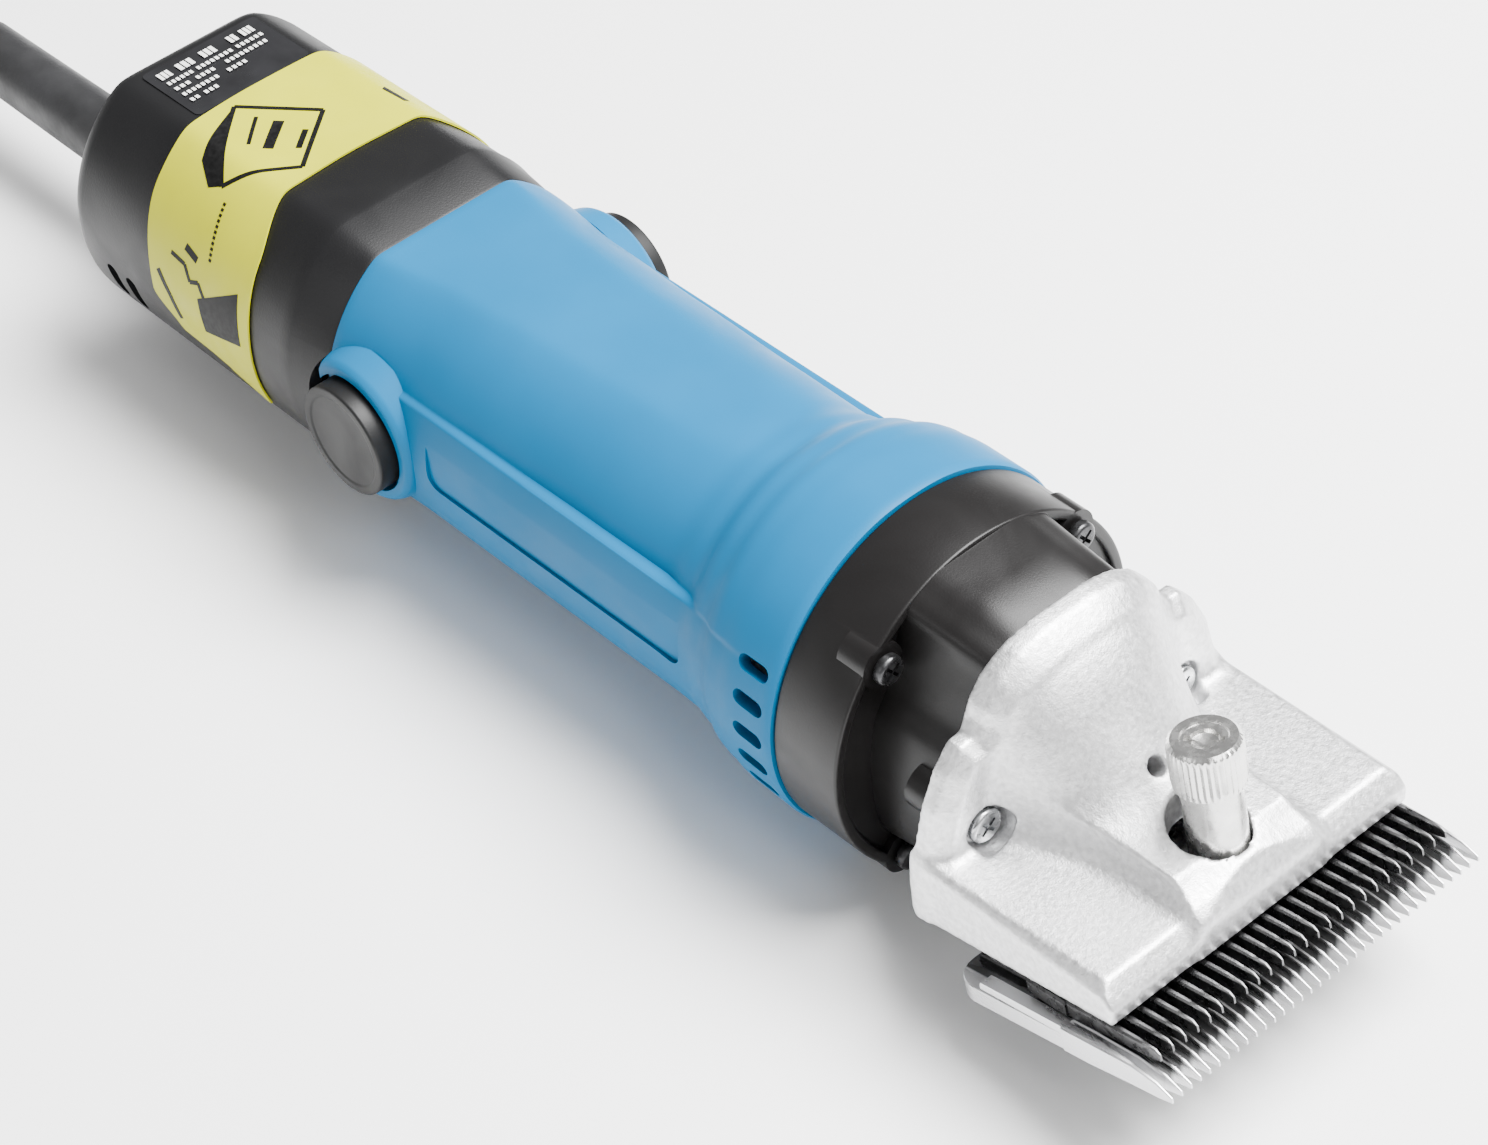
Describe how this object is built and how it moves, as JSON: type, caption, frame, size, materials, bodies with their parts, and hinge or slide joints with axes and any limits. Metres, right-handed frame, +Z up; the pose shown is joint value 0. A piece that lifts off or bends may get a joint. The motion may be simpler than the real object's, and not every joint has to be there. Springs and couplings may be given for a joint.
{
  "type": "sheep shears",
  "caption": "Mains electric sheep shears: round motor handle, gearbox nose, cast head with tension knob, wide comb and rocking cutter, and a coiled lead with plug.",
  "frame": {"origin": "centre of the tool's footprint (without the lead) on the surface it lies on", "axes": "+X forward along the motor axis towards the blades, +Y to the tool's left, +Z up"},
  "size_m": [0.5535, 0.1086, 0.072],
  "materials": {
    "handle_blue": "satin moulded plastic, fine texture",
    "black_plastic": "satin moulded plastic",
    "cap_black": "smooth semi-gloss",
    "rubber": "soft matte PVC and rubber",
    "cast_alloy": "bead-blasted die casting",
    "blade_steel": "ground and hardened",
    "steel": "zinc plated and machined",
    "nickel": "nickel plated, knurled",
    "brass": "stamped",
    "copper": "enamelled copper",
    "lamination": "stacked electrical steel",
    "carbon": "pressed carbon",
    "nylon": "natural nylon",
    "label_black": "glossy printed film",
    "label_yellow": "printed self-adhesive film"
  },
  "bodies": {
    "housing": {"rear_cap": "black_plastic", "handle_housing": "handle_blue", "gearbox_housing": "black_plastic", "head_casting": "cast_alloy", "comb_blade": "blade_steel", "rating_plate": "label_black", "wrap_label": "label_yellow", "brush_cap_left": "cap_black", "brush_cap_right": "cap_black", "brush_holder_left": "brass", "brush_holder_right": "brass", "brush_spring_left": "steel", "brush_spring_right": "steel", "carbon_brush_left": "carbon", "carbon_brush_right": "carbon", "stator_core": "lamination", "field_coil_upper": "copper", "field_coil_lower": "copper", "rear_bearing_bracket": "cast_alloy", "rear_bearing": "steel", "bearing_plate": "cast_alloy", "front_bearing": "steel", "crank_rear_bearing": "steel", "crank_front_bearing": "steel", "flange_screw_1": "steel", "flange_screw_2": "steel", "flange_screw_3": "steel", "flange_screw_4": "steel", "head_screw_left": "steel", "head_screw_right": "steel", "comb_screw_left": "steel", "comb_screw_right": "steel", "rear_cap_screw_left": "steel", "rear_cap_screw_right": "steel", "pivot_post": "steel", "pressure_pin": "steel", "tension_spring": "steel", "switch_body": "black_plastic", "suppressor_capacitor": "nylon", "cord_clamp": "nylon", "lead_inner_end": "rubber", "cord_guard": "rubber", "mains_cord": "rubber", "cord_coil": "rubber", "cord_tail": "rubber", "mains_plug": "rubber"},
    "rotor": {"rotor_shaft": "steel", "armature_core": "lamination", "armature_winding_rear": "copper", "armature_winding_front": "copper", "commutator": "copper", "cooling_fan": "nylon"},
    "crank": {"crankshaft": "steel", "crank_gear": "nylon"},
    "roller": {"crank_roller": "steel"},
    "fork": {"rocker_fork": "steel", "cutter_blade": "blade_steel"},
    "tension_seat": {"spring_seat": "steel"},
    "knob": {"tension_knob": "nickel"},
    "switch": {"switch_slider": "cap_black"}
  },
  "joints": [
    {"name": "rotor_spin", "type": "hinge", "parent": "housing", "child": "rotor", "pos_m": [-0.01847, 0, 0.036], "axis": [1, 0, 0], "continuous": true},
    {"name": "crank_spin", "type": "hinge", "parent": "housing", "child": "crank", "pos_m": [0.05353, 0, 0.02025], "axis": [1, 0, 0], "continuous": true},
    {"name": "roller_spin", "type": "hinge", "parent": "crank", "child": "roller", "pos_m": [0.07753, 0, 0.02135], "axis": [1, 0, 0], "continuous": true},
    {"name": "fork_swing", "type": "hinge", "parent": "housing", "child": "fork", "pos_m": [0.10444, 0, 0.02473], "axis": [-0.2113, 0, 0.9774], "range_deg": [-2.3, 2.3]},
    {"name": "tension_travel", "type": "slide", "parent": "housing", "child": "tension_seat", "axis": [0.1564, 0, -0.9877], "range_m": [-0.001, 0.002], "deforming": ["tension_spring"]},
    {"name": "tension_turn", "type": "hinge", "parent": "tension_seat", "child": "knob", "pos_m": [0.12883, 0, 0.0413], "axis": [-0.1564, 0, 0.9877], "range_deg": [-720, 360]},
    {"name": "switch_slide", "type": "slide", "parent": "housing", "child": "switch", "axis": [1, 0, 0], "range_m": [0, 0.006]}
  ],
  "couplings": [
    {"joint": "crank_spin", "follows": "rotor_spin", "ratio": -0.2381},
    {"joint": "tension_travel", "follows": "tension_turn", "m_per_rad": -0.00015915}
  ]
}
